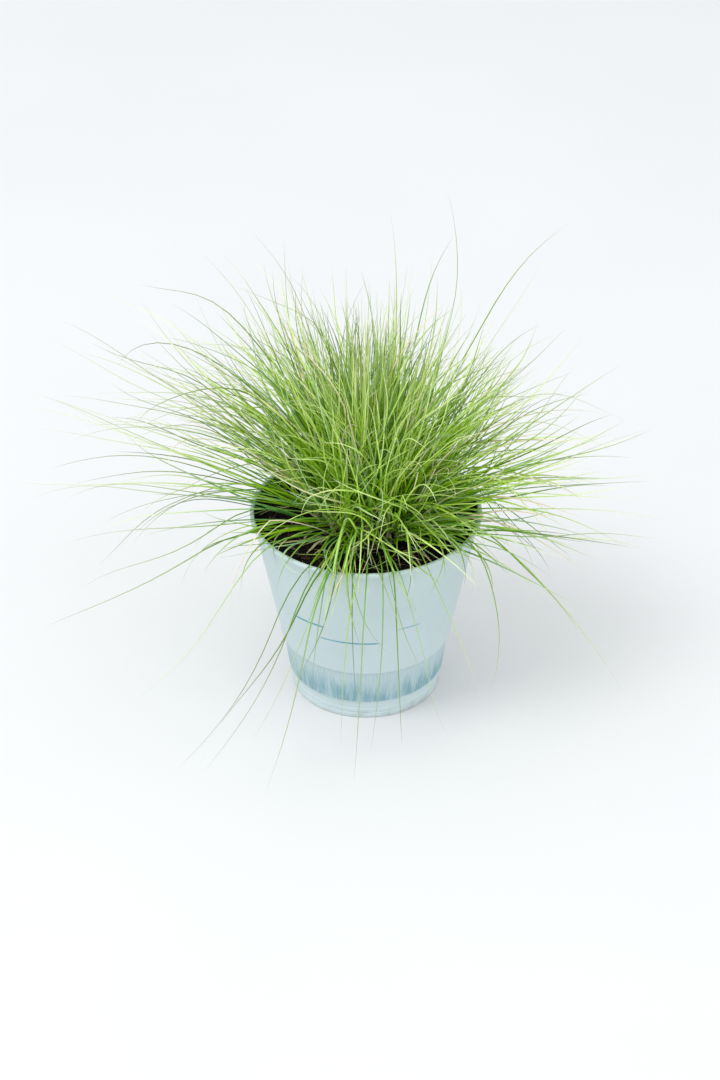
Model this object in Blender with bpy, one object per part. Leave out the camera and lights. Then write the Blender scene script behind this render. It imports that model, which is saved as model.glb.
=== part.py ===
"""Blue fescue in a nursery pot: a round tapered plastic pot, its potting mix, and a clump of
needle leaves that rises from one crown and arches out over the rim on every side.

Metres, +Z up. The origin is the middle of the pot's base, on the plane that the pot stands on.
The clump is split at its forks: the crown, and every tiller with the leaves of its own sheath."""

import math
import random
from dataclasses import dataclass

import bmesh
import bpy
from mathutils import Matrix, Vector, noise

# Pot
POT_HEIGHT = 0.092
RIM_RADIUS = 0.0525
LIP_HEIGHT = 0.0026
LIP_PROUD = 0.0014
LIP_ROUND = 0.0006
WALL = 0.0010
WALL_FOOT_RADIUS = 0.0390
BAND_TOP = 0.0285
BAND_BOTTOM = 0.0100
BAND_RADIUS = 0.0356
BAND_FLARE = 0.0024
FOOT_RADIUS = 0.0340
FOOT_RING = 0.0055
PAD_RADIUS = 0.0110
BASE_LIFT = 0.0025
BASE_SLOPE = 0.0016
POT_SEGMENTS = 36
DRAIN_HOLES = 6
DRAIN_RADIUS = 0.0036
DRAIN_SEGMENTS = 10

# Potting mix
TOUCH_GAP = 0.0003
TAPER_GAP = 0.0005
SOIL_DEPTH = 0.0075
SOIL_TOP = POT_HEIGHT - SOIL_DEPTH
SOIL_RIPPLE = 0.0022
SOIL_GRAIN = 0.009
SOIL_SEGMENTS = 26
SOIL_RINGS = (0.50, 0.66, 0.83, 1.0)
SOIL_SEED = 5.0

# Crown: the cap of a ball, standing on the potting mix
CROWN_BALL = 0.0300
CROWN_ANGLE = math.radians(43)
CROWN_RADIUS = CROWN_BALL * math.sin(CROWN_ANGLE)
CROWN_SEGMENTS = 20
CROWN_RINGS = 4

# Tillers
SHEATH_FOOT = 0.0013
SHEATH_TOP = 0.0011
LEAF_THICKNESS = 0.62
LEAF_TAPER = 0.6
SHORTEST_LEAF = 0.78
LONGEST_LEAF = 1.22
TILLER_LEAN = math.radians(2.0)
TILLER_DRIFT = 0.10
LEAF_LIFT = math.radians(4.0)
BEND_CHANGE = (0.90, 1.10)
HANG_RISE = math.radians(32)
STEEPEST = math.radians(85)
LEFT_REACH = 0.152
RIGHT_REACH = 0.142
FRONT_REACH = 0.114
BACK_REACH = 0.129
FLOOR_MARGIN = 0.010
SHORTER = 0.97
LEAF_SEED = 41

# How far the tillers stand up round the clump, as azimuth and degrees: it parts over the front and the left,
# where the potting mix shows
SIDE_LIFT = [
    (-180, 0), (-150, 6), (-120, 15), (-90, 16), (-62, 12), (-35, -2),
    (0, -7), (35, -4), (70, 2), (110, 4), (145, 2), (180, 0),
]

# How long the leaves are round the clump, as azimuth and share: longest on the left
SIDE_LENGTH = [
    (-180, 1.12), (-150, 1.10), (-90, 1.0), (0, 0.97), (45, 0.93), (90, 0.87), (135, 0.95), (180, 1.12),
]


@dataclass
class Ring:
    """Tillers at one distance from the crown's middle. Lengths are in metres, angles in degrees.

    parting is the share of SIDE_LIFT that applies. splay is how much more the lower leaves of a tiller bend.
    hang is how much more, and how much sooner, the leaves bend straight in front, from a steeper start."""

    name: str
    radius: float
    tillers: int
    launch: float
    sheath: float
    leaves: int
    length: float
    bend: float
    bend_power: float
    fan: float
    leaf_width: float
    steps: int
    parting: float
    splay: float
    hang: float


RINGS = [
    Ring(name="heart", radius=0.0032, tillers=5, launch=85, sheath=0.013, leaves=3, length=0.090,
         bend=10, bend_power=1.25, fan=22, leaf_width=0.00130, steps=3, parting=0.0, splay=0.2, hang=0.0),
    Ring(name="inner", radius=0.0076, tillers=9, launch=78, sheath=0.012, leaves=4, length=0.096,
         bend=15, bend_power=1.25, fan=12, leaf_width=0.00130, steps=4, parting=0.1, splay=0.2, hang=0.0),
    Ring(name="middle", radius=0.0120, tillers=13, launch=67, sheath=0.011, leaves=4, length=0.098,
         bend=22, bend_power=1.25, fan=8, leaf_width=0.00130, steps=4, parting=0.4, splay=0.15, hang=0.0),
    Ring(name="outer", radius=0.0160, tillers=16, launch=50, sheath=0.010, leaves=5, length=0.102,
         bend=27, bend_power=1.25, fan=8, leaf_width=0.00125, steps=5, parting=0.8, splay=0.25, hang=0.0),
    Ring(name="skirt", radius=0.0192, tillers=9, launch=31, sheath=0.008, leaves=5, length=0.133,
         bend=80, bend_power=1.00, fan=14, leaf_width=0.00120, steps=6, parting=0.0, splay=0.45, hang=0.3),
]


def clear_scene():
    for thing in list(bpy.data.objects):
        bpy.data.objects.remove(thing)


def plain_material(name, colour, roughness):
    """A Principled material of one colour; nothing here is metal."""
    material = bpy.data.materials.new(name)
    material.use_nodes = True
    shader = material.node_tree.nodes["Principled BSDF"]
    shader.inputs["Base Color"].default_value = (*colour, 1.0)
    shader.inputs["Roughness"].default_value = roughness
    shader.inputs["Metallic"].default_value = 0.0
    material.diffuse_color = (*colour, 1.0)
    return material


def new_object(name, bm, material, smooth_angle=35):
    """The bmesh as an object of that name, with its faces turned outwards."""
    bmesh.ops.recalc_face_normals(bm, faces=bm.faces)
    mesh = bpy.data.meshes.new(name)
    bm.to_mesh(mesh)
    bm.free()
    mesh.shade_smooth()
    mesh.set_sharp_from_angle(angle=math.radians(smooth_angle))
    mesh.materials.append(material)
    thing = bpy.data.objects.new(name, mesh)
    bpy.context.scene.collection.objects.link(thing)
    return thing


def turned(profile, segments):
    """A solid of revolution about Z from (radius, height) points that begin and end on the axis."""
    bm = bmesh.new()
    points = [bm.verts.new((radius, 0.0, height)) for radius, height in profile]
    edges = [bm.edges.new(pair) for pair in zip(points, points[1:])]
    bmesh.ops.spin(
        bm,
        geom=points + edges,
        cent=(0, 0, 0),
        axis=(0, 0, 1),
        angle=math.tau,
        steps=segments,
        use_merge=True,
    )
    bmesh.ops.remove_doubles(bm, verts=bm.verts, dist=1e-6)
    return bm


def outer_wall_radius(height):
    """Outside radius of the plain tapered wall between the ribbed band and the lip."""
    rise = (height - BAND_TOP) / (POT_HEIGHT - LIP_HEIGHT - BAND_TOP)
    return WALL_FOOT_RADIUS + rise * (RIM_RADIUS - LIP_PROUD - WALL_FOOT_RADIUS)


def pot_profile():
    """The pot's section: from the axis along the base, up the outside, over the lip and down the inside."""
    lip_foot = POT_HEIGHT - LIP_HEIGHT
    channel_outside = FOOT_RADIUS - FOOT_RING
    outside = [
        (0.0, 0.0),
        (PAD_RADIUS, 0.0),
        (PAD_RADIUS + BASE_SLOPE, BASE_LIFT),
        (channel_outside - BASE_SLOPE, BASE_LIFT),
        (channel_outside, 0.0),
        (FOOT_RADIUS, 0.0),
        (FOOT_RADIUS + LIP_ROUND, BAND_BOTTOM - WALL),
        (BAND_RADIUS, BAND_BOTTOM),
        (BAND_RADIUS + BAND_FLARE, BAND_TOP - WALL),
        (WALL_FOOT_RADIUS, BAND_TOP),
        (outer_wall_radius(lip_foot), lip_foot),
        (RIM_RADIUS, lip_foot + LIP_ROUND),
        (RIM_RADIUS, POT_HEIGHT - LIP_ROUND),
        (RIM_RADIUS - LIP_ROUND, POT_HEIGHT),
    ]
    inside = [
        (outer_wall_radius(POT_HEIGHT) - WALL, POT_HEIGHT),
        (WALL_FOOT_RADIUS - WALL, BAND_TOP + WALL),
        (BAND_RADIUS - WALL, BAND_BOTTOM + WALL),
        (FOOT_RADIUS - WALL, BAND_BOTTOM),
        (FOOT_RADIUS - WALL, WALL),
        (channel_outside + WALL, WALL),
        (channel_outside - BASE_SLOPE, BASE_LIFT + WALL),
        (PAD_RADIUS + BASE_SLOPE, BASE_LIFT + WALL),
        (PAD_RADIUS - WALL, WALL),
        (0.0, WALL),
    ]
    return outside + inside


def drain_cutter():
    """Short drills through the raised channel of the pot's base."""
    bm = bmesh.new()
    ring = (PAD_RADIUS + FOOT_RADIUS - FOOT_RING) / 2
    for number in range(DRAIN_HOLES):
        turn = Matrix.Rotation(math.tau * number / DRAIN_HOLES, 4, "Z")
        place = turn @ Matrix.Translation((ring, 0.0, BASE_LIFT + WALL / 2))
        bmesh.ops.create_cone(
            bm,
            cap_ends=True,
            segments=DRAIN_SEGMENTS,
            radius1=DRAIN_RADIUS,
            radius2=DRAIN_RADIUS,
            depth=4 * WALL,
            matrix=place,
        )
    cutter = new_object("drain_cutter", bm, plain_material("cutter", (1, 0, 0), 1.0))
    cutter.hide_render = True
    cutter.display_type = "WIRE"
    return cutter


def make_pot():
    plastic = plain_material("pot_plastic", (0.52, 0.65, 0.72), 0.45)
    pot = new_object("pot", turned(pot_profile(), POT_SEGMENTS), plastic)
    drains = pot.modifiers.new("drain_holes", "BOOLEAN")
    drains.operation = "DIFFERENCE"
    drains.solver = "EXACT"
    drains.object = drain_cutter()
    return pot


def make_soil():
    """The potting mix fills the pot from its base to a little under the rim, with a lumpy top."""
    inside = WALL + TAPER_GAP
    channel_floor = BASE_LIFT + WALL + TOUCH_GAP
    channel_outside = FOOT_RADIUS - FOOT_RING
    top_radius = outer_wall_radius(SOIL_TOP - SOIL_RIPPLE) - inside
    profile = [
        (0.0, WALL + TOUCH_GAP),
        (PAD_RADIUS - inside, WALL + TOUCH_GAP),
        (PAD_RADIUS + BASE_SLOPE - TOUCH_GAP, channel_floor),
        (channel_outside - BASE_SLOPE + TOUCH_GAP, channel_floor),
        (channel_outside + inside, WALL + TOUCH_GAP),
        (FOOT_RADIUS - inside, WALL + TOUCH_GAP),
        (FOOT_RADIUS - inside, BAND_BOTTOM),
        (BAND_RADIUS - inside, BAND_BOTTOM + 2 * WALL),
        (WALL_FOOT_RADIUS - inside, BAND_TOP + 2 * WALL),
    ]
    profile += [(top_radius * share, SOIL_TOP) for share in reversed(SOIL_RINGS)]
    profile.append((0.0, SOIL_TOP))
    bm = turned(profile, SOIL_SEGMENTS)
    for vertex in bm.verts:
        if vertex.co.z > SOIL_TOP - TOUCH_GAP and vertex.co.xy.length > CROWN_RADIUS:
            spot = Vector((vertex.co.x, vertex.co.y, 0.0)) / SOIL_GRAIN
            spot.z = SOIL_SEED
            vertex.co.z -= SOIL_RIPPLE * (0.5 + 0.5 * noise.noise(spot))
    return new_object("soil", bm, plain_material("potting_mix", (0.035, 0.022, 0.016), 0.95))


def crown_ball_centre():
    """Centre of the ball whose cap is the crown."""
    return Vector((0, 0, SOIL_TOP + TOUCH_GAP - CROWN_BALL * math.cos(CROWN_ANGLE)))


def make_crown():
    """The low matted dome that all the tillers grow from."""
    centre = crown_ball_centre()
    profile = [(0.0, SOIL_TOP + TOUCH_GAP)]
    for ring in range(CROWN_RINGS, 0, -1):
        down = CROWN_ANGLE * ring / CROWN_RINGS
        profile.append((CROWN_BALL * math.sin(down), centre.z + CROWN_BALL * math.cos(down)))
    profile.append((0.0, centre.z + CROWN_BALL))
    matted_stems = plain_material("crown", (0.20, 0.22, 0.08), 0.85)
    return new_object("crown", turned(profile, CROWN_SEGMENTS), matted_stems)


def heading(elevation, azimuth):
    level = math.cos(elevation)
    return Vector((level * math.cos(azimuth), level * math.sin(azimuth), math.sin(elevation)))


def leaf_line(start, elevation, azimuth, length, bend, power, steps):
    """Points of a leaf that leaves its sheath at an elevation and bends down towards its tip."""
    slices = 8
    stride = length / (steps * slices)
    here = start.copy()
    points = [here.copy()]
    for slice_number in range(steps * slices):
        share = (slice_number + 0.5) / (steps * slices)
        here = here + heading(elevation - bend * share**power, azimuth) * stride
        if (slice_number + 1) % slices == 0:
            points.append(here.copy())
    return points


def round_clump(table, azimuth):
    """The table's value at an azimuth in radians."""
    turn = (math.degrees(azimuth) + 180) % 360 - 180
    for (before, low), (after, high) in zip(table, table[1:]):
        if turn <= after:
            return low + (high - low) * (turn - before) / (after - before)
    return table[-1][1]


def leaf_stretch(azimuth, chance):
    """A leaf's length against its ring's: mostly under 1 and seldom much over."""
    stretch = SHORTEST_LEAF + (LONGEST_LEAF - SHORTEST_LEAF) * chance.random() ** 2
    return stretch * round_clump(SIDE_LENGTH, azimuth)


def out_of_reach(tip):
    """Whether a leaf's tip is too near the floor or too far out for this clump."""
    beside = not -LEFT_REACH < tip.x < RIGHT_REACH
    beyond = not -FRONT_REACH < tip.y < BACK_REACH
    return tip.z < FLOOR_MARGIN or beside or beyond


def circle_of_vertices(bm, centre, out, side, radius, count):
    """Vertices around a centre, from the out direction towards the side direction."""
    vertices = []
    for number in range(count):
        angle = math.tau * number / count
        place = centre + (out * math.cos(angle) + side * math.sin(angle)) * radius
        vertices.append(bm.verts.new(place))
    return vertices


def grow_leaf(bm, wedge, points, facing, width):
    """A three-edged leaf from a wedge of the sheath's top, through its points to a sharp tip."""
    last = len(points) - 1
    section = wedge
    along = (points[1] - points[0]).normalized()
    for number in range(1, last):
        now = (points[number + 1] - points[number - 1]).normalized()
        facing = along.rotation_difference(now) @ facing
        facing = (facing - now * facing.dot(now)).normalized()
        along = now
        across = along.cross(facing)
        half_width = width * (1 - LEAF_TAPER * (number / last) ** 2) / 2
        half_thick = half_width * LEAF_THICKNESS
        corners = [
            points[number] - facing * half_thick,
            points[number] + facing * half_thick - across * half_width,
            points[number] + facing * half_thick + across * half_width,
        ]
        following = [bm.verts.new(corner) for corner in corners]
        for edge in range(3):
            after = (edge + 1) % 3
            bm.faces.new((section[edge], section[after], following[after], following[edge]))
        section = following
    tip = bm.verts.new(points[last])
    for edge in range(3):
        bm.faces.new((section[edge], section[(edge + 1) % 3], tip))


def make_tiller(ring, number, material, chance):
    """One sheath standing on the crown, and the leaves that part from its top."""
    azimuth = math.tau * (number + chance.uniform(-TILLER_DRIFT, TILLER_DRIFT)) / ring.tillers
    launch = math.radians(ring.launch + ring.parting * round_clump(SIDE_LIFT, azimuth))
    launch += chance.uniform(-TILLER_LEAN, TILLER_LEAN)
    bend = math.radians(ring.bend) * chance.uniform(*BEND_CHANGE)
    down = math.asin(ring.radius / CROWN_BALL)
    square = heading(math.pi / 2 - down, azimuth)
    side = Vector((-math.sin(azimuth), math.cos(azimuth), 0.0))
    foot = crown_ball_centre() + square * (CROWN_BALL + TOUCH_GAP)
    growth = heading(launch, azimuth)
    top = foot + growth * ring.sheath
    out = side.cross(growth)

    bm = bmesh.new()
    sides = 2 * ring.leaves
    bottom_ring = circle_of_vertices(bm, foot, side.cross(square), side, SHEATH_FOOT, sides)
    top_ring = circle_of_vertices(bm, top, out, side, SHEATH_TOP, sides)
    hub = bm.verts.new(top)
    bm.faces.new(bottom_ring)
    for edge in range(sides):
        after = (edge + 1) % sides
        bm.faces.new((bottom_ring[edge], bottom_ring[after], top_ring[after], top_ring[edge]))
        if edge % 2:
            bm.faces.new((top_ring[edge], top_ring[after], hub))
            continue
        angle = math.tau * (edge + 0.5) / sides
        facing = out * math.cos(angle) + side * math.sin(angle)
        start = top + facing * (SHEATH_TOP * 2 / 3)
        leaf_azimuth = azimuth + math.radians(ring.fan) * math.sin(angle)
        hang = ring.hang * max(0.0, -math.sin(leaf_azimuth))
        elevation = launch - LEAF_LIFT * math.cos(angle) + HANG_RISE * hang
        stretch = leaf_stretch(leaf_azimuth, chance)
        lower = ring.splay * math.cos(angle)
        droop = min(bend * min(stretch, 1.0) * (1 + lower) * (1 + hang), elevation + STEEPEST)
        power = ring.bend_power * (1 - hang)
        length = ring.length * stretch * (1 + lower / 4)
        points = leaf_line(start, elevation, leaf_azimuth, length, droop, power, ring.steps)
        while out_of_reach(points[-1]):
            length *= SHORTER
            points = leaf_line(start, elevation, leaf_azimuth, length, droop, power, ring.steps)
        grow_leaf(bm, [hub, top_ring[edge], top_ring[after]], points, facing, ring.leaf_width)
    return new_object(f"tiller_{ring.name}_{number + 1:02d}", bm, material)


def make_clump():
    """Every tiller, ring by ring from the crown's middle to its edge."""
    chance = random.Random(LEAF_SEED)
    blue_green = plain_material("leaf_blue_green", (0.23, 0.35, 0.22), 0.6)
    yellow_green = plain_material("leaf_yellow_green", (0.27, 0.42, 0.10), 0.6)
    tillers = []
    for ring in RINGS:
        for number in range(ring.tillers):
            material = blue_green if number % 3 == 1 else yellow_green
            tillers.append(make_tiller(ring, number, material, chance))
    return tillers


clear_scene()
make_pot()
make_soil()
make_crown()
make_clump()
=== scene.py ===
"""Looks of the potted blue fescue clump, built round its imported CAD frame.

Metres, +Z up. The fine leaves, sheaths, peat crumbs and straw are joined meshes made from arrays."""

import math

import bmesh
import bpy
import numpy as np
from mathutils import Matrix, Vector


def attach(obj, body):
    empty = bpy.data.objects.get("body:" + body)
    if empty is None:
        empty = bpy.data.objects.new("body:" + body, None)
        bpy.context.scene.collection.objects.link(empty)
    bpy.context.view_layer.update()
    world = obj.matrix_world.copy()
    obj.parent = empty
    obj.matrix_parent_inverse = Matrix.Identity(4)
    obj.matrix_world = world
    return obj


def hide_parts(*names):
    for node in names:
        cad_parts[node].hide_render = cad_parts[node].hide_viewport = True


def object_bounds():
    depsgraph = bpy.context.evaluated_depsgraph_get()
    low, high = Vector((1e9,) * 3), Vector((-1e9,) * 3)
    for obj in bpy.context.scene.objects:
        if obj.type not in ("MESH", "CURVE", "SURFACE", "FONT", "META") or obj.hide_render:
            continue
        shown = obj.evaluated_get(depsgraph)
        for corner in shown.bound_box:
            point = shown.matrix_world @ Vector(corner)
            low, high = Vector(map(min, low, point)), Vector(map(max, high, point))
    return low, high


# Pot
POT_HEIGHT = 0.092
RIM_RADIUS = 0.0525
LIP_HEIGHT = 0.0026
LIP_PROUD = 0.0014
LIP_FOOT = POT_HEIGHT - LIP_HEIGHT
WALL = 0.0010
WALL_TOP_RADIUS = RIM_RADIUS - LIP_PROUD
WALL_FOOT_RADIUS = 0.0390
BAND_TOP = 0.0285
BAND_BOTTOM = 0.0100
BAND_RADIUS = 0.0356
BAND_FLARE = 0.0024
FOOT_RADIUS = 0.0340
FOOT_TOP_RADIUS = FOOT_RADIUS + 0.0006
FOOT_RING = 0.0055
PAD_RADIUS = 0.0110
BASE_LIFT = 0.0025
BASE_SLOPE = 0.0016
RIBS = 144
STEPS_PER_RIB = 5
RIB_DEPTH = 0.00036
DRAIN_HOLES = 6
DRAIN_RADIUS = 0.0036

# Potting mix
SOIL_TOP = 0.0845
SOIL_BOTTOM = 0.0046
SOIL_RIPPLE = 0.0020
CRUMBS = 2300
FIBRES = 170
STRAWS = 18

# Crown
CROWN_BALL = 0.0300
CROWN_ANGLE = math.radians(43)
CROWN_CENTRE = SOIL_TOP + 0.0003 - CROWN_BALL * math.cos(CROWN_ANGLE)
CROWN_RADIUS = CROWN_BALL * math.sin(CROWN_ANGLE)

# Shoots stand in tufts, one tuft for each CAD tiller. The columns run from the crown's middle to its edge.
TUFT_SHOOTS = {"heart": 6, "inner": 6, "middle": 7, "outer": 7, "skirt": 6}
TILLERS = {"heart": 5, "inner": 9, "middle": 13, "outer": 16, "skirt": 9}
TUFT_SPREAD = 0.0019
SHOOT_DISC = 0.0200
RING_PLACE = [0.00, 0.16, 0.38, 0.61, 0.81, 0.97]
RING_LAUNCH = [88, 85, 79, 69, 58, 48]
RING_BEND = [8, 11, 17, 24, 30, 32]
RING_EDGES = [0.27, 0.50, 0.71, 0.89, 9.0]
STEEPEST = 97
LEAVES_PER_SHOOT = [3, 4, 5]
PER_SHOOT_SHARES = [0.25, 0.4, 0.35]
LEAF_LENGTH = 0.094
LEAF_STEPS = 17
LEAF_SECTION = [(0.0, -0.80), (0.80, -0.34), (0.94, 0.42), (0.0, 0.10), (-0.94, 0.42), (-0.80, -0.34)]
STRAW_SECTION = [(0.0, -0.22), (0.7, -0.12), (1.0, 0.16), (0.0, 0.02), (-1.0, 0.16), (-0.7, -0.12)]
SEED = 44
THINNING_SEED = 5

# Shares of the shoots' leaves that go astray, are young or long, sway far, have a kink or are blue-green
ASTRAY_SHARE = 0.32
YOUNG_SHARE = 0.24
LONG_SHARE = 0.10
SWAYING_SHARE = 0.20
KINKED_SHARE = 0.012
BLUE_SHARE = 0.15

# Lengths up to which hanging and low leaves count as short
SHORT_HANGING = 0.085
SHORT_LOW = 0.080

# Half widths of the leaves, from and to
SHOOT_WIDTH = (0.00036, 0.00072)
HANGING_WIDTH = (0.00026, 0.00044)
LOW_WIDTH = (0.00032, 0.00056)
STRAY_WIDTH = (0.00028, 0.00044)
DRY_WIDTH = (0.00022, 0.00040)

# How far leaves keep off the pot and the floor, how many points at their feet may be closer, and how far
# the tips at the far left may pass the CAD box
POT_CLEAR = 0.0010
FLOOR_CLEAR = 0.0040
FOOT_POINTS = 9
PAST_BOX = 0.0070

# How a leaf is put right that touches the pot or reaches too far: tries, degrees up and change of length at
# each try, and the shortest leaf that is kept
SETTLE_TRIES = 26
SETTLE_RAISE = 2.0
SETTLE_SHORTEN = 0.965
SHORTEST_LEAF = 0.020

# Round the clump, from the left over the front, the right and the back to the left again: azimuth, how far
# the outer shoots stand up and how far their leaves droop, all in degrees, what share of the shoots is there,
# how long and how wide their leaves are, and what share of the leaves is there
SIDES = [
    (-180, 15, 26, 0.82, 1.36, 0.64, 0.76),
    (-150, 18, 20, 0.74, 1.30, 0.66, 0.72),
    (-120, 17, 4, 0.55, 1.08, 0.76, 0.90),
    (-90, 16, 0, 0.60, 1.00, 0.86, 1.00),
    (-62, 12, 0, 0.66, 1.00, 0.88, 1.00),
    (-35, 0, 0, 0.95, 1.06, 0.84, 1.00),
    (0, -5, 0, 1.00, 1.10, 0.80, 1.00),
    (35, -3, 0, 0.95, 1.06, 0.80, 1.00),
    (70, 2, 0, 0.85, 0.98, 0.76, 1.00),
    (110, 4, 0, 0.80, 0.98, 0.70, 1.00),
    (145, 8, 12, 0.85, 1.14, 0.66, 0.84),
    (180, 15, 26, 0.82, 1.36, 0.64, 0.76),
]
SIDE_AZIMUTH, SIDE_LIFT, SIDE_DROOP, SIDE_SHARE, SIDE_LENGTH, SIDE_WIDTH, SIDE_KEPT = zip(*SIDES)

# Leaves that hang over the rim, and a thick bundle of short ones at the front: azimuth, its spread, how many,
# bend from and to, length from and to, and how far they turn aside
HANGING = [
    (-94, 6, 14, 64, 94, 0.052, 0.098, 0),
    (-80, 7, 5, 72, 96, 0.104, 0.142, 0),
    (-108, 3, 5, 58, 78, 0.118, 0.150, -44),
    (-137, 3, 1, 50, 58, 0.136, 0.150, -8),
    (-160, 7, 2, 32, 54, 0.120, 0.150, 0),
    (-48, 10, 1, 56, 84, 0.100, 0.135, 0),
    (-14, 12, 3, 36, 66, 0.100, 0.138, 0),
    (45, 26, 5, 40, 84, 0.095, 0.122, 0),
    (100, 26, 5, 40, 84, 0.090, 0.116, 0),
    (155, 14, 3, 34, 70, 0.110, 0.146, 0),
]
FRONT_BUNDLE = [(-91, 3.5, 8, 70, 96, 0.046, 0.074, 0)]

# Single leaves that leave the clump low down, and two later lots of them: azimuth, its spread, how many,
# launch from and to, length from and to
LOW = [
    (168, 12, 15, 22, 50, 0.090, 0.158),
    (-163, 9, 10, 18, 40, 0.070, 0.156),
    (-146, 8, 11, 5, 18, 0.040, 0.088),
    (-120, 10, 7, 6, 26, 0.030, 0.075),
    (-93, 15, 17, 8, 50, 0.026, 0.074),
    (-62, 12, 12, 6, 42, 0.030, 0.082),
    (-32, 10, 15, 10, 38, 0.060, 0.130),
    (2, 13, 18, 12, 42, 0.074, 0.142),
    (45, 18, 11, 16, 40, 0.076, 0.130),
    (90, 20, 9, 18, 40, 0.072, 0.120),
    (130, 12, 8, 16, 38, 0.076, 0.126),
]
FAR_LEFT = [(176, 8, 4, 26, 44, 0.150, 0.178), (-167, 5, 3, 20, 36, 0.150, 0.178)]
OVER_RIM = [(158, 14, 16, 26, 56, 0.060, 0.112), (-12, 20, 20, 15, 42, 0.066, 0.130)]

# Crooked leaves that stand out of the clump, toward these azimuths with these shares, and dry leaves
STRAYS = 42
STRAY_AZIMUTHS = [172, -160, 140, 100, 50, 5, -35]
STRAY_SHARES = [0.25, 0.2, 0.15, 0.1, 0.1, 0.1, 0.1]
DRY_LEAVES = 10

# Straw on the mix, toward these azimuths with these shares
STRAW_AZIMUTHS = [-160, -120, -75, -30, 40, 110]
STRAW_SHARES = [0.3, 0.26, 0.18, 0.1, 0.08, 0.08]

# Colours: along a leaf or a sheath from its foot to its tip, and from dark to pale in the rest. The first
# number of a row is the place on the way.
# In both leaf ramps the deep green low down is partly painted shade of the clump's depths, and the paler,
# greyer tip is partly painted sheen.
LEAF_GREEN = [
    (0.00, 0.70, 0.72, 0.40),
    (0.10, 0.32, 0.61, 0.040),
    (0.24, 0.36, 0.69, 0.032),
    (0.50, 0.48, 0.78, 0.085),
    (0.80, 0.58, 0.77, 0.24),
    (1.00, 0.58, 0.68, 0.36),
]
LEAF_BLUE = [
    (0.00, 0.50, 0.57, 0.30),
    (0.07, 0.21, 0.47, 0.12),
    (0.24, 0.23, 0.51, 0.15),
    (0.50, 0.34, 0.60, 0.26),
    (0.80, 0.38, 0.57, 0.33),
    (1.00, 0.40, 0.51, 0.36),
]
LEAF_STRAW = [
    (0.10, 0.66, 0.52, 0.33),
    (0.45, 0.78, 0.66, 0.44),
    (0.70, 0.85, 0.73, 0.56),
    (0.95, 0.88, 0.82, 0.62),
]
SHEATH_FRESH = [
    (0.00, 0.26, 0.22, 0.10),
    (0.20, 0.56, 0.55, 0.30),
    (0.50, 0.60, 0.68, 0.36),
    (0.80, 0.40, 0.58, 0.15),
    (1.00, 0.36, 0.58, 0.08),
]
SHEATH_OLD = [
    (0.00, 0.20, 0.14, 0.08),
    (0.35, 0.50, 0.38, 0.23),
    (0.75, 0.70, 0.57, 0.40),
    (1.00, 0.76, 0.65, 0.48),
]
CROWN_STEMS = [(0.30, 0.006, 0.005, 0.003), (0.55, 0.030, 0.024, 0.012), (0.75, 0.11, 0.09, 0.045)]
PEAT = [
    (0.22, 0.0030, 0.0022, 0.0018),
    (0.50, 0.0080, 0.0052, 0.0036),
    (0.68, 0.0240, 0.0140, 0.0085),
    (0.82, 0.0800, 0.0440, 0.0240),
]
PEAT_FIBRE = [
    (0.05, 0.030, 0.016, 0.010),
    (0.40, 0.120, 0.065, 0.034),
    (0.70, 0.300, 0.190, 0.105),
    (0.95, 0.520, 0.390, 0.240),
]
# Outer leaves turn paler and brighter between these distances from the middle: partly their own paler colour,
# partly painted light on the clump's outer edge
PALE_AND_LIT_LEAF = (0.71, 0.77, 0.42)
PALE_AND_LIT_FROM = 0.062
PALE_AND_LIT_TO = 0.118
DRY_TIP = (0.58, 0.50, 0.29)
PLASTIC = (0.450, 0.560, 0.572)
PLASTIC_PALE = (0.500, 0.607, 0.612)
# Painted light: a paler plastic colour mixed into the lower wall
PLASTIC_PAINTED_LIGHT_LOW = (0.580, 0.660, 0.700)
BAND_DEEP = (0.205, 0.372, 0.425)
BAND_MIDDLE = (0.375, 0.515, 0.550)
BAND_PALE = (0.440, 0.562, 0.585)
PRINT_BLUE = (0.055, 0.290, 0.360)
PEAT_SPECK = (0.060, 0.038, 0.026)
GRIME = (0.210, 0.170, 0.130)
SCUFF = (0.74, 0.80, 0.83)
# Painted shade: near black for the pot's inner wall
POT_INSIDE_SHADE = (0.012, 0.012, 0.013)
FLOOR_GREY = (0.630, 0.636, 0.645)
FLOOR_PALE = (0.652, 0.658, 0.667)

# Printed ring lines: height, half width, from and to in radians to the right of the front, and strength
PRINTED_LINES = [
    (0.0553, 0.00055, -0.74, -0.38, 1.0),
    (0.0553, 0.00045, 0.40, 0.64, 0.65),
    (0.0480, 0.00045, -0.42, 0.20, 1.0),
]

# Camera: the place of the photograph's camera, with a longer lens
CAMERA_PLACE = (0.083, -1.197, 0.881)
CAMERA_AIM = (-0.002, -0.010, 0.082)
LENS = 106.0

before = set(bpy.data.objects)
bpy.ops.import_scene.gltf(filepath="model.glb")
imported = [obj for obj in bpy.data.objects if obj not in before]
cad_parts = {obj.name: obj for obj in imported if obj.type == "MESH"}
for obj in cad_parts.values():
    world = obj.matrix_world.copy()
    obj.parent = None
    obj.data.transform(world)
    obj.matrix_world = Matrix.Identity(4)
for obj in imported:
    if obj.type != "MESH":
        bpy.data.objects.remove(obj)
cad_lowest, cad_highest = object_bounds()
chance = np.random.default_rng(SEED)
BOX_LOW = np.array(cad_lowest) - [PAST_BOX, 0.0, 0.0]
BOX_HIGH = np.array(cad_highest)


# Meshes


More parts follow.
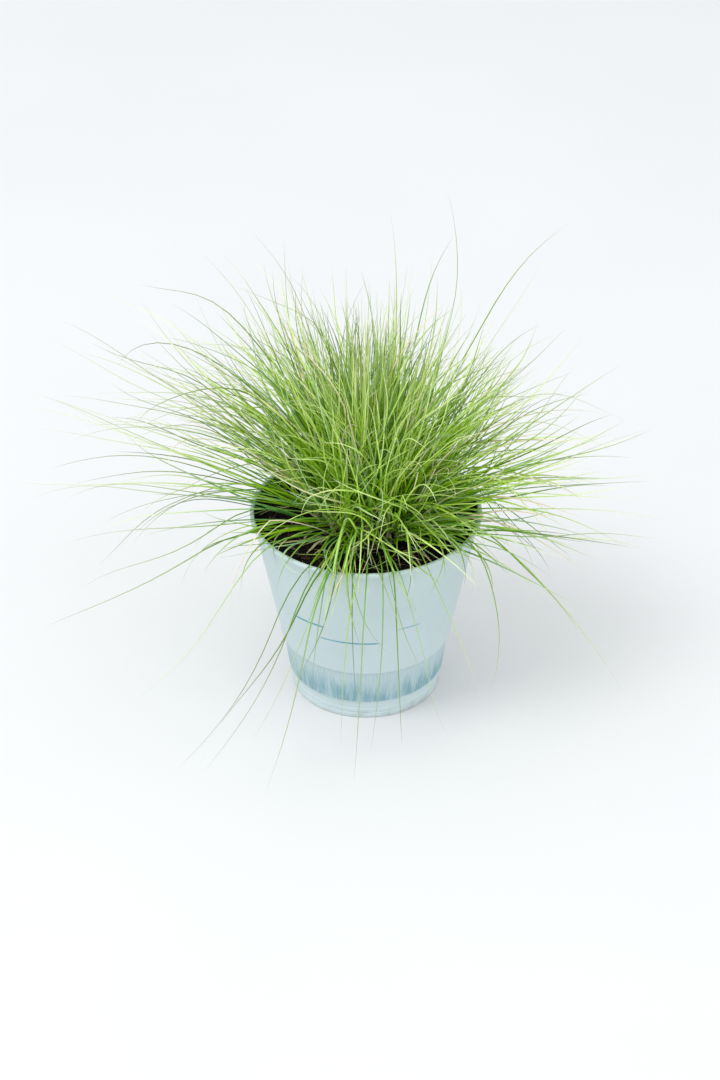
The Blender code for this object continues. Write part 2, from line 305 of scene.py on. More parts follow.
def build_mesh(name, vertices, face_sets, material, uv_sets=None, values=None, smooth=True):
    """An object from arrays: face sets of one size each, their UVs corner by corner, values per vertex."""
    mesh = bpy.data.meshes.new(name)
    faces = []
    for face_set in face_sets:
        faces.extend(face_set.tolist())
    mesh.from_pydata(vertices.tolist(), [], faces)
    if uv_sets is not None:
        layer = mesh.uv_layers.new(name="OFBake")
        corners = np.concatenate([uv.reshape(-1, 2) for uv in uv_sets]).astype(np.float32)
        layer.data.foreach_set("uv", corners.ravel())
    for label, value in (values or {}).items():
        attribute = mesh.attributes.new(label, "FLOAT", "POINT")
        attribute.data.foreach_set("value", value.astype(np.float32).ravel())
    if smooth:
        mesh.shade_smooth()
    mesh.materials.append(material)
    thing = bpy.data.objects.new(name, mesh)
    bpy.context.scene.collection.objects.link(thing)
    return thing


def ripple(points, size, seed, octaves):
    """Smooth noise in plan from about -1 to 1, out of turned waves, cheap over whole arrays."""
    source = np.random.default_rng(seed)
    waves = 6
    x, y = points[..., 0], points[..., 1]
    total = np.zeros_like(x)
    weight = 0.0
    for octave in range(octaves):
        for _ in range(waves):
            turn = source.uniform(0, math.tau)
            start = source.uniform(0, math.tau)
            pitch = size * source.uniform(0.75, 1.35) / 2**octave
            wave = np.sin(math.tau * (x * math.cos(turn) + y * math.sin(turn)) / pitch + start)
            total += wave * 0.5**octave
        weight += 0.5**octave * math.sqrt(waves / 2)
    return total / (1.6 * weight)


def around_axis(radius, angle, height):
    """Points at a radius and angle round the pot's axis."""
    points = np.broadcast_arrays(radius * np.cos(angle), radius * np.sin(angle), height)
    return np.stack(points, axis=-1)


def turns_of(count):
    """Angles evenly round a circle."""
    return math.tau * np.arange(count) / count


def circle(corners, height=1.0):
    """The outline of a round tube, or of a flat one."""
    return around_axis(1.0, turns_of(corners), 0.0)[:, :2] * [1.0, height]


def ring_quads(rings, turns):
    """Quads between rings of vertices."""
    ring, step = np.meshgrid(np.arange(rings - 1), np.arange(turns), indexing="ij")
    after = (step + 1) % turns
    low = ring * turns
    high = low + turns
    return np.stack([low + step, low + after, high + after, high + step], axis=-1).reshape(-1, 4)


def turned_faces(rings, turns, inward=False):
    """Quads between rings of vertices, and the fans to the two middle vertices that follow them."""
    quads = ring_quads(rings, turns)
    here = np.arange(turns)
    after = (here + 1) % turns
    last = (rings - 1) * turns
    first_fan = np.stack([np.full(turns, rings * turns), after, here], axis=-1)
    last_fan = np.stack([np.full(turns, rings * turns + 1), last + here, last + after], axis=-1)
    if inward:
        return quads[:, [0, 3, 2, 1]], first_fan[:, [0, 2, 1]], last_fan[:, [0, 2, 1]]
    return quads, first_fan, last_fan


def corner_uvs(*pairs):
    """UVs of many faces, out of one pair of values for each corner."""
    return np.stack([np.stack(np.broadcast_arrays(u, v), -1) for u, v in pairs], axis=1)


def uv_columns(turns):
    """Left side, middle and right side of even columns over the UV square."""
    return [(np.arange(turns) + share) / turns for share in (0.0, 0.5, 1.0)]


def ring_uvs(heights, turns):
    """UVs of the quads between rings, from the height of each ring in the UV square."""
    left, _, right = (np.tile(column, len(heights) - 1) for column in uv_columns(turns))
    low = np.repeat(heights[:-1], turns)
    high = np.repeat(heights[1:], turns)
    return corner_uvs((left, low), (right, low), (right, high), (left, high))


def turned_body(rings, ends, uv_width):
    """Vertices, faces and UVs from above of a closed body, from its rings and its two end points."""
    vertices = np.concatenate([*rings, ends])
    faces = turned_faces(len(rings), len(rings[0]), inward=True)
    flat = vertices[:, :2] / uv_width + 0.5
    return vertices, faces, [flat[face_set] for face_set in faces]


def cell_corners(count, rows):
    """Lower corner and size of each piece's own cell in the UV square."""
    columns = math.ceil(count / rows)
    number = np.arange(count)
    corner = np.stack([(number % columns) / columns, (number // columns) / rows], axis=1)
    return corner, np.array([1 / columns, 1 / rows])


def build_tubes(name, paths, frames, widths, section, uv_rows, material, shares=None, **labelled):
    """An object of closed tubes along many paths at once, each with a pointed tip and a capped foot.

    paths and the two frames, side and facing, are (tubes, steps, 3); widths is (tubes, steps); section is the
    (corners, 2) outline in half widths. shares says how far along each ring is, evenly if left out. Each
    label has one value for each tube.
    """
    count, steps, _ = paths.shape
    corners = len(section)
    ring = paths[:, :-1, None, :]
    for axis, way in enumerate(frames):
        out = np.array(section)[None, None, :, axis, None] * widths[:, :-1, None, None]
        ring = ring + way[:, :-1, None, :] * out
    body = ring.reshape(count, (steps - 1) * corners, 3)
    vertices = np.concatenate([body, paths[:, -1:, :]], axis=1)
    per_tube = vertices.shape[1]

    here = np.arange(corners)
    last = (steps - 2) * corners
    tip = np.stack([last + here, last + (here + 1) % corners, np.full(corners, per_tube - 1)], axis=-1)
    foot = here[::-1][None, :]
    first = (np.arange(count) * per_tube)[:, None, None]
    patterns = (ring_quads(steps - 1, corners), tip, foot)
    faces = [(first + pattern).reshape(-1, pattern.shape[1]) for pattern in patterns]

    heights = 0.03 + 0.95 * np.arange(steps - 1) / (steps - 1)
    left, middle, right = uv_columns(corners)
    tip_uv = corner_uvs((left, heights[-1]), (right, heights[-1]), (middle, 0.98))
    turn = turns_of(corners)[::-1]
    foot_uv = np.stack([0.5 + 0.2 * np.cos(turn), 0.012 + 0.008 * np.sin(turn)], -1)[None]
    place, size = cell_corners(count, uv_rows)
    inset = 0.06
    uv_sets = []
    for uv in (ring_uvs(heights, corners), tip_uv, foot_uv):
        shrunk = inset + (1 - 2 * inset) * uv
        uv_sets.append(place[:, None, None, :] + shrunk[None] * size)

    if shares is None:
        shares = np.arange(steps) / (steps - 1)
    values = {label: np.repeat(value, per_tube) for label, value in labelled.items()}
    values["along"] = np.tile(np.append(np.repeat(shares[:-1], corners), 1.0), count)
    return build_mesh(name, vertices.reshape(-1, 3), faces, material, uv_sets, values)


def heading(elevation, azimuth):
    """Unit vectors from angles in radians, for whole arrays."""
    return around_axis(np.cos(elevation), azimuth, np.sin(elevation))


def unit(vectors):
    """The same directions, each of length 1."""
    return vectors / np.maximum(np.linalg.norm(vectors, axis=-1, keepdims=True), 1e-12)


def path_frames(paths, azimuth=None):
    """Unit side and facing vectors along each path."""
    ahead = unit(np.gradient(paths, axis=1))
    if azimuth is None:
        azimuth = np.arctan2(ahead[..., 1], ahead[..., 0])
    side = np.stack([-np.sin(azimuth), np.cos(azimuth), np.zeros_like(azimuth)], axis=-1)
    side = unit(side - ahead * np.sum(side * ahead, axis=-1, keepdims=True))
    return side, np.cross(ahead, side)


# Material nodes


class Nodes:
    """Short calls for making a material's node tree."""

    def __init__(self, name, roughness=0.5):
        self.material = bpy.data.materials.new(name)
        self.material.use_nodes = True
        self.tree = self.material.node_tree
        self.shader = self.tree.nodes["Principled BSDF"]
        self.shader.inputs["Roughness"].default_value = roughness

    def add(self, kind, sockets, **settings):
        """A node of a kind with these settings, its sockets fed by name or number."""
        node = self.tree.nodes.new(kind)
        for key, value in settings.items():
            setattr(node, key, value)
        for key, value in sockets.items():
            self.feed(node.inputs[key], value)
        return node

    def feed(self, socket, value):
        if isinstance(value, bpy.types.NodeSocket):
            self.tree.links.new(value, socket)
        elif socket.type == "RGBA":
            socket.default_value = (*value, 1.0)
        else:
            socket.default_value = value

    def value(self, label):
        return self.add("ShaderNodeAttribute", {}, attribute_name=label).outputs["Fac"]

    def place(self):
        return self.add("ShaderNodeTexCoord", {}).outputs["Object"]

    def axes(self):
        return self.add("ShaderNodeSeparateXYZ", {0: self.place()}).outputs[:3]

    def stretched(self, along_z):
        sockets = {"Vector": self.place(), "Scale": (1.0, 1.0, along_z)}
        return self.add("ShaderNodeMapping", sockets).outputs[0]

    def noise(self, scale, detail=3.0, roughness=0.5, vector=None):
        sockets = {"Vector": vector or self.place(), "Scale": scale, "Detail": detail, "Roughness": roughness}
        return self.add("ShaderNodeTexNoise", sockets).outputs["Fac"]

    def cells(self, scale):
        """Distance to the nearest of many scattered points, and a number for each point."""
        node = self.add("ShaderNodeTexVoronoi", {"Vector": self.place(), "Scale": scale}, feature="F1")
        return node.outputs["Distance"], node.outputs["Color"]

    def math(self, operation, *values, clamp=False):
        sockets = dict(enumerate(values))
        return self.add("ShaderNodeMath", sockets, operation=operation, use_clamp=clamp).outputs[0]

    def plus(self, a, b, clamp=False):
        return self.math("ADD", a, b, clamp=clamp)

    def minus(self, a, b):
        return self.math("SUBTRACT", a, b)

    def times(self, a, b):
        return self.math("MULTIPLY", a, b)

    def hypot(self, a, b):
        return self.math("SQRT", self.plus(self.times(a, a), self.times(b, b)))

    def fade(self, value, low, high, start=0.0, end=1.0):
        """Smooth step of value from low to high, mapped to start..end."""
        sockets = {"Value": value, "From Min": low, "From Max": high, "To Min": start, "To Max": end}
        return self.add("ShaderNodeMapRange", sockets, interpolation_type="SMOOTHSTEP").outputs["Result"]

    def ramp(self, value, stops):
        node = self.add("ShaderNodeValToRGB", {0: value})
        ramp = node.color_ramp
        while len(ramp.elements) < len(stops):
            ramp.elements.new(0.5)
        for element, (position, *colour) in zip(ramp.elements, stops):
            element.position = position
            element.color = (*colour, 1.0)
        return node.outputs[0]

    def mix(self, share, a, b):
        return self.add("ShaderNodeMix", {0: share, 6: a, 7: b}, data_type="RGBA").outputs[2]

    def shade(self, colour, hue, saturation, value):
        sockets = {"Color": colour, "Hue": hue, "Saturation": saturation, "Value": value}
        return self.add("ShaderNodeHueSaturation", sockets).outputs[0]

    def bump(self, height, distance, strength=1.0):
        node = self.add("ShaderNodeBump", {"Strength": strength, "Distance": distance, "Height": height})
        self.feed(self.shader.inputs["Normal"], node.outputs[0])

    def colour(self, source):
        self.feed(self.shader.inputs["Base Color"], source)

    def rough(self, source):
        self.feed(self.shader.inputs["Roughness"], source)


def leaf_material():
    """Needle leaves: pale foot, deep green low down that is partly painted shade, yellow-green above, a paler
    tip that is partly painted sheen, dry tip; some blue-green, some dead.
    """
    n = Nodes("leaf")
    along = n.value("along")
    tone = n.value("tone")
    blue = n.value("blue")
    dead = n.value("dead")
    drift = n.noise(240.0, 2.0)
    shifted = n.plus(along, n.times(n.minus(drift, 0.5), 0.16), clamp=True)
    living = n.mix(blue, n.ramp(shifted, LEAF_GREEN), n.ramp(shifted, LEAF_BLUE))
    straw = n.ramp(n.plus(n.times(drift, 0.5), n.times(tone, 0.5)), LEAF_STRAW)
    # Paler, brighter and less saturated towards the outside, from a middle a little right of the axis: partly
    # the outer leaves' own colour, partly painted light.
    x, y, _ = n.axes()
    out = n.hypot(n.minus(x, 0.010), y)
    living = n.mix(n.fade(out, PALE_AND_LIT_FROM, PALE_AND_LIT_TO, 0.0, 0.62), living, PALE_AND_LIT_LEAF)
    bright = n.plus(tone, n.fade(out, PALE_AND_LIT_FROM, PALE_AND_LIT_TO, 0.0, 0.16), clamp=True)
    strong = n.times(n.fade(tone, 0.1, 1.0, 1.28, 0.90), n.fade(out, 0.060, 0.120, 1.0, 0.74))
    hue = n.fade(tone, 0.0, 1.0, 0.510, 0.489)
    living = n.shade(living, hue, strong, n.fade(bright, 0.0, 1.0, 0.33, 1.17))
    mottle = n.fade(n.noise(1500.0, 3.0, 0.6), 0.25, 0.75, 0.90, 1.08)
    living = n.shade(living, 0.5, 1.0, mottle)
    dry_tip = n.times(n.fade(along, 0.93, 0.99), n.fade(tone, 0.70, 0.80))
    living = n.mix(dry_tip, living, DRY_TIP)
    n.colour(n.mix(dead, living, straw))
    n.rough(n.plus(n.fade(blue, 0.0, 1.0, 0.44, 0.60), n.times(dead, 0.22)))
    n.shader.inputs["Specular IOR Level"].default_value = 0.42
    n.bump(n.noise(2600.0, 2.0), 0.00006, 0.5)
    return n.material


def sheath_material():
    """Sheaths at the foot of the shoots: straw at the base, pale green above, mottled."""
    n = Nodes("sheath", 0.55)
    drift = n.noise(320.0, 3.0)
    shifted = n.plus(n.value("along"), n.times(n.minus(drift, 0.5), 0.5), clamp=True)
    aged = n.fade(n.value("tone"), 0.80, 0.90)
    colour = n.mix(aged, n.ramp(shifted, SHEATH_FRESH), n.ramp(shifted, SHEATH_OLD))
    n.colour(n.shade(colour, 0.5, 1.0, n.fade(drift, 0.3, 0.7, 0.75, 1.15)))
    n.bump(n.noise(2000.0, 2.0), 0.0001, 0.5)
    return n.material


def crown_material():
    """Old matted stems, near black to brown."""
    n = Nodes("crown_mat", 0.92)
    n.colour(n.ramp(n.noise(420.0, 5.0, 0.65), CROWN_STEMS))
    n.bump(n.noise(900.0, 4.0, 0.6), 0.0006)
    return n.material


def soil_material():
    """Moist peat: near black, with red-brown crumbs and pale fibre."""
    n = Nodes("potting_mix", 0.9)
    grain = n.noise(700.0, 5.0, 0.65)
    n.colour(n.ramp(n.plus(n.times(grain, 0.6), n.times(n.value("tone"), 0.4)), PEAT))
    n.rough(n.fade(grain, 0.2, 0.8, 0.72, 1.0))
    n.shader.inputs["Specular IOR Level"].default_value = 0.18
    n.bump(n.noise(1300.0, 4.0, 0.6), 0.0005)
    return n.material


def fibre_material():
    """Peat fibres, dark brown to straw."""
    n = Nodes("peat_fibre", 0.85)
    n.colour(n.ramp(n.plus(n.times(n.value("tone"), 0.8), n.times(n.noise(500.0), 0.2)), PEAT_FIBRE))
    n.bump(n.noise(2500.0, 2.0), 0.0001)
    return n.material


def pot_material():
    """Pale blue plastic with painted shade, near black, on its inner wall: a teal ribbed band, printed ring
    lines, scuffs and specks of peat.
    """
    n = Nodes("pot_plastic", 0.4)
    x, y, z = n.axes()
    cloud = n.noise(26.0, 3.0)
    wall = n.mix(n.fade(cloud, 0.3, 0.7), PLASTIC, PLASTIC_PALE)
    # Painted light: the wall is mixed paler towards the bottom.
    wall = n.mix(n.fade(z, 0.020, 0.092, 0.30, 0.0), wall, PLASTIC_PAINTED_LIGHT_LOW)
    streak = n.noise(330.0, 3.0, 0.65, n.stretched(0.10))
    patch = n.noise(75.0, 2.0, 0.5, n.stretched(0.30))
    strokes = n.fade(streak, 0.38, 0.62)
    ragged = n.plus(z, n.times(n.minus(n.plus(streak, patch), 1.0), 0.011))
    band = n.mix(n.fade(ragged, 0.0120, 0.0255), n.mix(strokes, BAND_DEEP, BAND_MIDDLE), BAND_PALE)
    in_band = n.times(n.fade(z, 0.0099, 0.0103), n.fade(z, 0.0276, 0.0286, 1.0, 0.0))
    colour = n.mix(in_band, wall, band)

    angle = n.math("ARCTAN2", x, n.times(y, -1.0))
    worn = n.fade(n.noise(60.0, 2.0), 0.25, 0.5, 0.60, 0.92)
    for height, half_width, left, right, strength in PRINTED_LINES:
        off = n.math("ABSOLUTE", n.minus(z, height))
        line = n.fade(off, half_width * 0.7, half_width * 1.3, strength, 0.0)
        line = n.times(line, n.fade(angle, left - 0.04, left + 0.04))
        line = n.times(line, n.fade(angle, right - 0.04, right + 0.04, 1.0, 0.0))
        colour = n.mix(n.times(line, worn), colour, PRINT_BLUE)

    speck_size, speck_pick = n.cells(330.0)
    near_foot = n.fade(z, 0.004, 0.020, 1.0, 0.0)
    near_rim = n.fade(z, 0.070, 0.092, 0.0, 0.55)
    where = n.plus(n.plus(near_foot, near_rim), 0.10, clamp=True)
    speck = n.times(n.fade(speck_size, 0.22, 0.34, 1.0, 0.0), n.fade(speck_pick, 0.955, 0.965))
    colour = n.mix(n.times(speck, where), colour, PEAT_SPECK)
    grime = n.times(n.fade(n.noise(95.0, 5.0, 0.65), 0.50, 0.72), n.fade(z, 0.0005, 0.0060, 0.60, 0.0))
    colour = n.mix(grime, colour, GRIME)
    scuff = n.times(n.fade(n.noise(420.0, 4.0, 0.7, n.stretched(0.25)), 0.60, 0.72), 0.22)
    colour = n.mix(scuff, colour, SCUFF)

    # Painted shade: the inner wall above the band and below the lip is coloured near black.
    slope = (WALL_TOP_RADIUS - WALL_FOOT_RADIUS) / (LIP_FOOT - BAND_TOP)
    outside = n.math("MULTIPLY_ADD", z, slope, WALL_FOOT_RADIUS - slope * BAND_TOP)
    inward = n.minus(outside, n.hypot(x, y))
    below_lip = n.fade(z, POT_HEIGHT - 0.0012, POT_HEIGHT - 0.0007, 1.0, 0.0)
    inside = n.times(n.fade(inward, 0.00050, 0.00070), below_lip)
    inside = n.times(inside, n.fade(z, BAND_TOP + 0.0005, BAND_TOP + 0.0015))
    n.colour(n.mix(inside, colour, POT_INSIDE_SHADE))
    n.rough(n.plus(n.fade(cloud, 0.3, 0.7, 0.34, 0.44), n.times(n.plus(grime, scuff), 0.5)))
    n.bump(n.noise(1800.0, 3.0, 0.6), 0.00004, 0.6)
    return n.material


# Pot


def wall_outside(height):
    """Outside radius of the pot at a height, lip and band included."""
    outline = [
        (0.0, FOOT_RADIUS),
        (BAND_BOTTOM - WALL, FOOT_TOP_RADIUS),
        (BAND_BOTTOM, BAND_RADIUS),
        (BAND_TOP - WALL, BAND_RADIUS + BAND_FLARE),
        (BAND_TOP, WALL_FOOT_RADIUS),
        (LIP_FOOT, WALL_TOP_RADIUS),
        (LIP_FOOT + 0.0005, RIM_RADIUS),
        (POT_HEIGHT, RIM_RADIUS),
    ]
    return np.interp(height, *zip(*outline))


def wall_inside(height):
    """Inside radius of the pot at a height above its band."""
    rise = (POT_HEIGHT - BAND_TOP) / (LIP_FOOT - BAND_TOP)
    top = WALL_FOOT_RADIUS + rise * (WALL_TOP_RADIUS - WALL_FOOT_RADIUS)
    return np.interp(height, [BAND_TOP + WALL, POT_HEIGHT], [WALL_FOOT_RADIUS - WALL, top - WALL])


def rounded(points, radius, steps=3):
    """The section with each inner corner replaced by a short curve."""
    made = [points[0]]
    for before, here, after in zip(points, points[1:], points[2:]):
        a, b, c = Vector(before), Vector(here), Vector(after)
        reach = min(radius, (a - b).length * 0.45, (c - b).length * 0.45)
        start = b + (a - b).normalized() * reach
        end = b + (c - b).normalized() * reach
        for step in range(steps + 1):
            share = step / steps
            made.append(tuple((1 - share) ** 2 * start + 2 * share * (1 - share) * b + share**2 * end))
    made.append(points[-1])
    return made


def pot_section():
    """Radius and height round the pot's section, from the axis outwards, up, over the lip and back inside."""
    channel_outside = FOOT_RADIUS - FOOT_RING
    outside = [
        (0.0, 0.0),
        (PAD_RADIUS, 0.0),
        (PAD_RADIUS + BASE_SLOPE, BASE_LIFT),
        (channel_outside - BASE_SLOPE, BASE_LIFT),
        (channel_outside, 0.0),
        (FOOT_RADIUS, 0.0),
        (FOOT_RADIUS + 0.0002, 0.0027),
        (FOOT_RADIUS - 0.0001, 0.0030),
        (FOOT_RADIUS + 0.0003, 0.0034),
        (FOOT_RADIUS + 0.0004, 0.0057),
        (FOOT_RADIUS + 0.0001, 0.0060),
        (FOOT_RADIUS + 0.0005, 0.0064),
        (FOOT_TOP_RADIUS, BAND_BOTTOM - WALL),
        (BAND_RADIUS, BAND_BOTTOM),
        (BAND_RADIUS + BAND_FLARE, BAND_TOP - WALL),
        (WALL_FOOT_RADIUS, BAND_TOP),
        (float(wall_outside(LIP_FOOT)), LIP_FOOT),
        (RIM_RADIUS, LIP_FOOT + 0.0004),
        (RIM_RADIUS, POT_HEIGHT),
        (float(wall_inside(POT_HEIGHT)), POT_HEIGHT),
        (WALL_FOOT_RADIUS - WALL, BAND_TOP + WALL),
        (BAND_RADIUS - WALL, BAND_BOTTOM + WALL),
        (FOOT_RADIUS - WALL, BAND_BOTTOM),
        (FOOT_RADIUS - WALL, WALL),
        (channel_outside + WALL, WALL),
        (channel_outside - BASE_SLOPE, BASE_LIFT + WALL),
        (PAD_RADIUS + BASE_SLOPE, BASE_LIFT + WALL),
        (PAD_RADIUS - WALL, WALL),
        (0.0, WALL),
    ]
    return rounded(outside, 0.0007)


def make_pot(material):
    """The turned pot with ribs pressed into its band, and drain holes drilled through its base."""
    section = np.array(pot_section())
    inner = section[1:-1]
    rings = len(inner)
    turns = RIBS * STEPS_PER_RIB
    angle = turns_of(turns)
    in_band = (inner[:, 1] > BAND_BOTTOM + 0.0002) & (inner[:, 1] < BAND_TOP - 0.0002)
    in_band &= inner[:, 0] > BAND_RADIUS - 0.0004
    groove = 0.5 - 0.5 * np.cos(RIBS * angle)
    radius = inner[:, 0:1] - RIB_DEPTH * in_band[:, None] * groove[None, :]
    body = around_axis(radius, angle, inner[:, 1:2]).reshape(-1, 3)
    vertices = np.concatenate([body, [[0.0, 0.0, section[0, 1]], [0.0, 0.0, section[-1, 1]]]])

    reach = np.concatenate([[0.0], np.cumsum(np.linalg.norm(np.diff(section, axis=0), axis=1))])
    reach = reach / reach[-1]
    left, middle, right = uv_columns(turns)
    bottom_uv = corner_uvs((middle, 0.0), (right, reach[1]), (left, reach[1]))
    top_uv = corner_uvs((middle, 1.0), (left, reach[-2]), (right, reach[-2]))
    uv_sets = [ring_uvs(reach[1:-1], turns), bottom_uv, top_uv]
    pot = build_mesh("pot_shell", vertices, turned_faces(rings, turns), material, uv_sets)
    drill_drains(pot)
    pot.data.set_sharp_from_angle(angle=math.radians(50))
    return pot


def drill_drains(pot):
    """Six round holes through the raised channel of the base."""
    ring = (PAD_RADIUS + FOOT_RADIUS - FOOT_RING) / 2
    sides = 28
    side = np.arange(sides)
    vertices = []
    walls = []
    caps = []
    for centre in around_axis(ring, turns_of(DRAIN_HOLES), 0.0):
        first = len(vertices) * sides
        for height in (BASE_LIFT - WALL, BASE_LIFT + 2 * WALL):
            vertices.append(centre + around_axis(DRAIN_RADIUS, turns_of(sides), height))
        walls.append(first + ring_quads(2, sides))
        caps.append((first + side[::-1])[None])
        caps.append((first + sides + side)[None])
    faces = [np.concatenate(walls), np.concatenate(caps)]
    cutter = build_mesh("drain_cutter", np.concatenate(vertices), faces, pot.data.materials[0], smooth=False)
    drill = pot.modifiers.new("drains", "BOOLEAN")
    drill.operation = "DIFFERENCE"
    drill.solver = "EXACT"
    drill.object = cutter
    bpy.context.view_layer.update()
    drilled = bpy.data.meshes.new_from_object(pot.evaluated_get(bpy.context.evaluated_depsgraph_get()))
    pot.modifiers.clear()
    pot.data = drilled
    bpy.data.objects.remove(cutter)


# Potting mix


def soil_height(points):
    """Height of the potting mix's top at points in plan, a little below the CAD solid's, with lumps."""
    uneven = 0.55 * ripple(points, 0.017, 3, 2) + 0.45 * ripple(points, 0.0050, 4, 2)
    return SOIL_TOP - SOIL_RIPPLE * (0.55 + 0.5 * uneven)


def make_soil(material):
    """A closed body of potting mix with a lumpy top."""
    turns = 144
    angle = turns_of(turns)
    rim = float(wall_inside(SOIL_TOP - SOIL_RIPPLE)) - 0.0004
    rings = []
    for share in np.concatenate([np.linspace(0.30, 0.985, 46), [1.0]]):
        ring = around_axis(rim * share, angle, 0.0)
        ring[:, 2] = soil_height(ring)
        rings.append(ring)
    for height in (0.060, BAND_TOP + 2 * WALL):
        rings.append(around_axis(float(wall_inside(height)) - 0.0008, angle, height))
    rings.append(around_axis(BAND_RADIUS - 0.0018, angle, BAND_BOTTOM + 2 * WALL))
    for height in (BAND_BOTTOM, SOIL_BOTTOM):
        rings.append(around_axis(FOOT_RADIUS - 0.0016, angle, height))
    ends = [(0.0, 0.0, soil_height(np.zeros((1, 2)))[0]), (0.0, 0.0, SOIL_BOTTOM)]
    vertices, faces, uv_sets = turned_body(rings, ends, 2.6 * rim)
    tone = 0.35 + 0.25 * ripple(vertices, 0.004, 9, 1)
    return build_mesh("potting_mix_body", vertices, faces, material, uv_sets, {"tone": tone})


def ball_template(subdivisions):
    """Vertices and triangles of a unit ball."""
    bm = bmesh.new()
    bmesh.ops.create_icosphere(bm, subdivisions=subdivisions, radius=1.0)
    points = np.array([vertex.co[:] for vertex in bm.verts])
    triangles = np.array([[vertex.index for vertex in face.verts] for face in bm.faces])
    bm.free()
    return points, triangles


def random_turns(count):
    """Rotation matrices, evenly spread over all turns."""
    q = unit(chance.normal(size=(count, 4)))
    w, x, y, z = q.T
    rows = [
        (1 - 2 * (y * y + z * z), 2 * (x * y - z * w), 2 * (x * z + y * w)),
        (2 * (x * y + z * w), 1 - 2 * (x * x + z * z), 2 * (y * z - x * w)),
        (2 * (x * z - y * w), 2 * (y * z + x * w), 1 - 2 * (x * x + y * y)),
    ]
    return np.stack([np.stack(row, -1) for row in rows], axis=1)


def lumps(places, sizes, subdivisions):
    """Irregular crumbs at many places, as one set of vertices and triangles."""
    points, triangles = ball_template(subdivisions)
    count = len(places)
    rough = 1 + chance.uniform(-0.32, 0.32, (count, len(points), 1))
    spans = ((0.7, 1.3), (0.6, 1.0), (0.4, 0.8))
    flat = np.stack([chance.uniform(*span, count) for span in spans], -1)
    shaped = points[None] * rough * flat[:, None, :] * sizes[:, None, None]
    turned = np.einsum("nij,nkj->nki", random_turns(count), shaped)
    vertices = turned + places[:, None, :]
    first = (np.arange(count) * len(points))[:, None, None]
    return vertices.reshape(-1, 3), (first + triangles[None]).reshape(-1, 3), len(points)


def make_crumbs(material):
    """A skin of peat crumbs on the mix."""
    rim = float(wall_inside(SOIL_TOP)) - 0.0012
    radius = np.sqrt(chance.uniform((CROWN_RADIUS * 0.86) ** 2, rim**2, CRUMBS))
    angle = chance.uniform(0, math.tau, CRUMBS)
    sizes = 0.00030 + 0.00105 * chance.beta(1.3, 4.5, CRUMBS)
    radius = np.minimum(radius, rim - sizes * 1.3)
    places = around_axis(radius, angle, 0.0)
    places[:, 2] = np.minimum(soil_height(places) + sizes * 0.25, SOIL_TOP + 0.0006 - sizes)
    big = sizes > 0.00075
    low = lumps(places[~big], sizes[~big], 1)
    high = lumps(places[big], sizes[big], 2)
    vertices = np.concatenate([low[0], high[0]])
    triangles = np.concatenate([low[1], high[1] + len(low[0])])
    counts = ((int((~big).sum()), low[2]), (int(big.sum()), high[2]))
    tones = [np.repeat(chance.beta(1.6, 2.2, count), each) for count, each in counts]
    values = {"tone": np.concatenate(tones)}
    return build_mesh("potting_mix_crumbs", vertices, [triangles], material, None, values, smooth=False)


def walked(start, steps):
    """Paths from where they start, step after step."""
    moved = np.concatenate([np.zeros((len(steps), 1, 3)), np.cumsum(steps, axis=1)], axis=1)
    return start[:, None, :] + moved


def lying_paths(steps, radius, angle, azimuth, lengths, lifts, curl):
    """Paths that lie on the potting mix, each with a slight arch and a curl in plan."""
    count = len(radius)
    length = chance.uniform(*lengths, (count, 1))
    lift = chance.uniform(*lifts, (count, 1))
    share = np.linspace(0, 1, steps)[None, :]
    turn = azimuth[:, None] + chance.normal(0, curl, (count, 1)) * share
    paths = walked(around_axis(radius, angle, 0.0), around_axis(length / (steps - 1), turn[:, :-1], 0.0))
    paths[..., 2] = soil_height(paths) + lift * (0.35 + np.sin(math.pi * share))
    return paths


def plan_radius(paths):
    """How far each path gets from the pot's axis."""
    return np.hypot(paths[..., 0], paths[..., 1]).max(axis=1)


def make_fibres(material):
    """Thin peat fibres lying on the mix."""
    rim = float(wall_inside(SOIL_TOP)) - 0.0015
    radius = np.sqrt(chance.uniform((CROWN_RADIUS * 0.95) ** 2, (rim - 0.003) ** 2, FIBRES))
    angle = chance.uniform(0, math.tau, FIBRES)
    azimuth = angle + math.pi / 2 * chance.choice([-1, 1], FIBRES) + chance.normal(0, 0.5, FIBRES)
    steps = 9
    paths = lying_paths(steps, radius, angle, azimuth, (0.003, 0.012), (0.0002, 0.0009), 0.9)
    paths = paths[plan_radius(paths) < rim]
    count = len(paths)
    taper = np.sin(math.pi * (0.08 + 0.86 * np.linspace(0, 1, steps)))
    widths = chance.uniform(0.00007, 0.00019, (count, 1)) * taper
    tone = chance.beta(1.5, 1.8, count)
    return build_tubes("peat_fibres", paths, path_frames(paths), widths, circle(4), 4, material, tone=tone)


# Crown, sheaths and straw


def make_crown(material):
    """The matted dome under the shoots."""
    turns = 96
    rings = 30
    angle = turns_of(turns)
    made = []
    for number in range(1, rings + 1):
        down = CROWN_ANGLE * number / rings
        height = CROWN_CENTRE + CROWN_BALL * math.cos(down)
        ring = around_axis(CROWN_BALL * math.sin(down), angle, height)
        ring[:, 2] += 0.0003 * ripple(ring, 0.0032, 21, 2) - 0.0002
        made.append(ring)
    foot = made[-1].copy()
    foot[:, 2] = SOIL_TOP - SOIL_RIPPLE
    made.append(foot)
    ends = [(0.0, 0.0, CROWN_CENTRE + CROWN_BALL), (0.0, 0.0, SOIL_TOP - SOIL_RIPPLE)]
    vertices, faces, uv_sets = turned_body(made, ends, 2.2 * CROWN_RADIUS)
    return build_mesh("crown_dome", vertices, faces, material, uv_sets)


def dome_point(radius, azimuth, above=0.0):
    """A point on the crown's dome."""
    down = np.arcsin(np.clip(radius / CROWN_BALL, 0, 0.99))
    reach = CROWN_BALL + above
    return around_axis(reach * np.sin(down), azimuth, CROWN_CENTRE + reach * np.cos(down))


